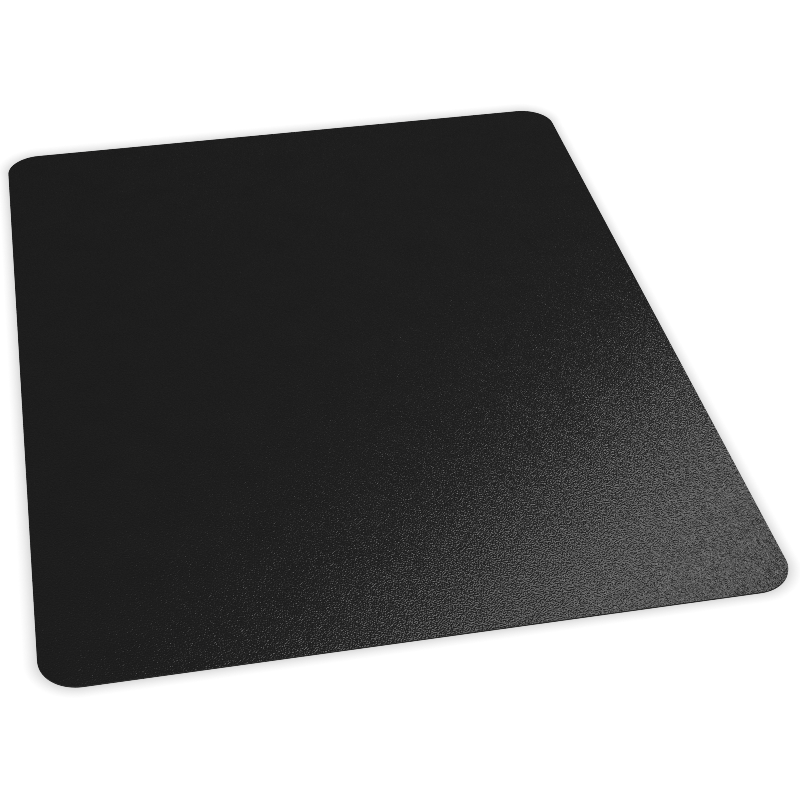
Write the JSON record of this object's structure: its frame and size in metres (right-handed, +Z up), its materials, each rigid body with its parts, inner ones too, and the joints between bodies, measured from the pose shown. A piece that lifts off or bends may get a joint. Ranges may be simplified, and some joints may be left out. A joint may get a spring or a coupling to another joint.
{
  "type": "chair mat",
  "caption": "Flat black rectangular chair mat with rounded corners and a fine pebble texture, laid on a hard floor for an office chair to roll on.",
  "frame": {"origin": "centre of the underside, on the floor plane", "axes": "+X along the short sides, +Y along the long sides, +Z up through the thickness from the floor to the surface the castors roll on"},
  "size_m": [0.9144, 1.2192, 0.002],
  "materials": {
    "embossed_vinyl": "satin, fine pebble emboss",
    "core_vinyl": "matt cut edge",
    "glass_fibre": "non-woven glass veil soaked with dark vinyl",
    "grip_vinyl": "matt, fine anti-slip grain"
  },
  "bodies": {
    "root": {"grip_backing": "grip_vinyl", "lower_ply": "core_vinyl", "glass_veil": "glass_fibre", "upper_ply": "core_vinyl", "wear_layer": "embossed_vinyl"}
  },
  "joints": []
}
